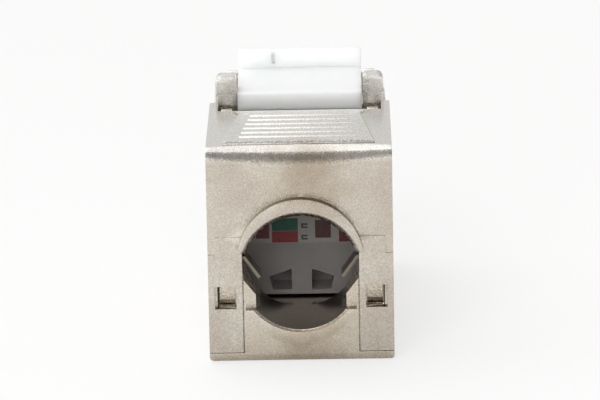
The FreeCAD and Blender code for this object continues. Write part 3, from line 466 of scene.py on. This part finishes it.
def place_label_fields(finish):
    """The label's plain fields of colour: two pairs of rows, with a column of dark marks in the middle."""
    label_depth, ink_depth = 10.12, 0.03
    mark_left, mark_right, stroke, mark_height = 0.02, 0.6, 0.16, 0.46
    inks = [finish[key] for key in ("red", "green", "ink", "brown", "maroon", "blue")]
    red, green, ink, brown, maroon, blue = range(6)
    fields = [  # left, right, low, high, colour
        (-2.7, -0.3, 8.50, 9.58, red), (-2.7, -0.3, 9.62, 10.8, green),
        (-4.2, -2.95, 8.9, 10.3, maroon), (1.3, 2.75, 8.9, 10.6, brown), (3.5, 4.4, 8.5, 9.7, maroon),
        (-2.7, -0.3, 12.0, 13.0, blue), (-2.7, -0.3, 13.05, 14.1, brown),
        (1.3, 2.75, 12.0, 13.0, green), (1.3, 2.75, 13.05, 14.1, red),
    ]
    for low in (8.75, 9.85, 12.15, 13.25):
        high = low + mark_height
        fields.append((mark_left, mark_right, low, low + stroke, ink))
        fields.append((mark_left, mark_right, high - stroke, high, ink))
        fields.append((mark_left, mark_left + stroke, low + stroke, high - stroke, ink))
    plates = []
    for left, right, low, high, colour in fields:
        x_left, y, z_low = spot(left, label_depth, low)
        x_right, _, z_high = spot(right, label_depth, high)
        plates.append((x_left, x_right, z_low, z_high, y, ink_depth * MM, colour))
    as_piece("label_fields", plate_mesh("label_fields", plates), "manager", "label", *inks)


def place_comb(finish):
    """Nine fins under the carrier's roof, which keep the socket contacts apart."""
    pitch, count = 1.02, 9
    mesh = grown_mesh(
        "comb_fins", comb_tree(),
        Count=count, Pitch=pitch * MM, Width=0.44 * MM, Length=10.0 * MM, Height=1.1 * MM, Round=0.12 * MM,
        First=spot(-pitch * (count - 1) / 2, 25.6, 13.25), Finish=finish["dark"],
    )
    as_piece("comb_fins", mesh, "housing", "dark_plastic")


# ---- floor, light and camera ----

def white_floor():
    """A wide pale sheet that keeps the soft shadow under the part and stays white to the eye."""
    half, seen_white = 3.0, 0.65
    corners = [(-half, -half, 0), (half, -half, 0), (half, half, 0), (-half, half, 0)]
    mesh = bpy.data.meshes.new("floor")
    mesh.from_pydata(corners, [], [(0, 1, 2, 3)])
    floor = bpy.data.objects.new("floor", mesh)
    bpy.context.scene.collection.objects.link(floor)
    material, tree = empty_material("white_studio_sheet")
    sheet = add(tree, "ShaderNodeBsdfPrincipled", {
        "Base Color": linear("#F3F3F3"), "Roughness": 0.9, "Specular IOR Level": 0.1,
    })
    glow = add(tree, "ShaderNodeEmission", {"Color": (1, 1, 1, 1), "Strength": 1.0})
    seen = add(tree, "ShaderNodeLightPath").outputs["Is Camera Ray"]
    share = add(tree, "ShaderNodeMath", {0: seen, 1: seen_white}, operation="MULTIPLY")
    both = add(tree, "ShaderNodeMixShader", {
        0: share.outputs[0], 1: sheet.outputs["BSDF"], 2: glow.outputs["Emission"],
    })
    add(tree, "ShaderNodeOutputMaterial", {"Surface": both.outputs[0]})
    mesh.materials.append(material)


def studio_world():
    """A plain studio: bright ceiling, pale walls, and a dark strip of ceiling above the camera."""
    # Levels round the studio, by place: 0 is the wall beyond the part, 0.5 the zenith, 1 the wall behind
    # the camera.
    stops = (
        (0.0, 0.74), (0.08, 0.78), (0.14, 0.9), (0.19, 1.3), (0.545, 1.42),
        (0.575, 0.4), (0.80, 0.4), (0.88, 0.5), (0.92, 1.06), (1.0, 1.18),
    )
    left_level, right_level, side_reach = 1.35, 0.6, 0.45
    lit_share = 0.76  # matt pieces get a little less light than metal mirrors
    world = bpy.data.worlds.new("studio")
    world.use_nodes = True
    tree = world.node_tree
    tree.nodes.clear()
    way = add(tree, "ShaderNodeTexCoord").outputs["Generated"]
    parts = add(tree, "ShaderNodeSeparateXYZ", {"Vector": way}).outputs
    turn = add(tree, "ShaderNodeMath", {0: parts["Z"], 1: parts["Y"]}, operation="ARCTAN2")
    round_share = add(tree, "ShaderNodeMath", {0: turn.outputs[0], 1: math.pi}, operation="DIVIDE")
    ramp = add(tree, "ShaderNodeValToRGB", {"Fac": round_share.outputs[0]})
    steps = ramp.color_ramp.elements
    while len(steps) < len(stops):
        steps.new(0.5)
    for element, (place, level) in zip(steps, stops):
        element.position = place
        element.color = (level, level, level * 0.985, 1)
    side = add(tree, "ShaderNodeMapRange", {
        "Value": parts["X"], "From Min": -side_reach, "From Max": side_reach,
        "To Min": left_level, "To Max": right_level,
    }, interpolation_type="SMOOTHSTEP")
    mirrored = add(tree, "ShaderNodeLightPath").outputs["Is Glossy Ray"]
    dimmed = add(tree, "ShaderNodeMapRange", {"Value": mirrored, "To Min": lit_share, "To Max": 1.0})
    strength = add(tree, "ShaderNodeMath", {
        0: side.outputs["Result"], 1: dimmed.outputs["Result"],
    }, operation="MULTIPLY")
    light = add(tree, "ShaderNodeBackground", {
        "Color": ramp.outputs["Color"], "Strength": strength.outputs[0],
    })
    add(tree, "ShaderNodeOutputWorld", {"Surface": light.outputs["Background"]})
    bpy.context.scene.world = world


def softbox(name, place, size, power):
    """A soft square lamp aimed at the part, which metal doesn't mirror."""
    lamp = bpy.data.lights.new(name, "AREA")
    lamp.shape = "SQUARE"
    lamp.size = size
    lamp.energy = power
    obj = bpy.data.objects.new(name, lamp)
    bpy.context.scene.collection.objects.link(obj)
    target = Vector((0, 0, 0.01))
    obj.location = Vector(place)
    obj.rotation_euler = (target - Vector(place)).to_track_quat("-Z", "Y").to_euler()
    obj.visible_glossy = False


def main_camera():
    """A long lens a little above the cable end, with the slight turn of a camera held by hand."""
    place = Vector((0.00418, -0.42397, 0.12249))
    turn, down, roll = math.radians(-0.58), math.radians(14.75), math.radians(1.06)
    ahead = Vector((math.sin(turn) * math.cos(down), math.cos(turn) * math.cos(down), -math.sin(down)))
    right = Vector((math.cos(turn), -math.sin(turn), 0))
    up = right.cross(ahead)
    tilted_right = right * math.cos(roll) - up * math.sin(roll)
    tilted_up = up * math.cos(roll) + right * math.sin(roll)
    axes = Matrix((tilted_right, tilted_up, -ahead)).transposed()
    camera = bpy.data.cameras.new("camera")
    camera.sensor_width = 36.0
    camera.lens = 280.5
    camera.clip_start = 0.01
    obj = bpy.data.objects.new("camera", camera)
    bpy.context.scene.collection.objects.link(obj)
    obj.matrix_world = Matrix.Translation(place) @ axes.to_4x4()
    bpy.context.scene.camera = obj


finish = make_materials()
place_castings(finish)
place_mouldings(finish)
place_metal_parts(finish)
place_label_fields(finish)
place_comb(finish)

white_floor()
studio_world()
softbox("ceiling_softbox", (-0.10, 0.22, 0.40), 0.30, 0.2)
softbox("front_fill", (-0.10, -0.50, 0.30), 0.40, 2.2)
main_camera()
bpy.context.scene.view_settings.view_transform = "Standard"
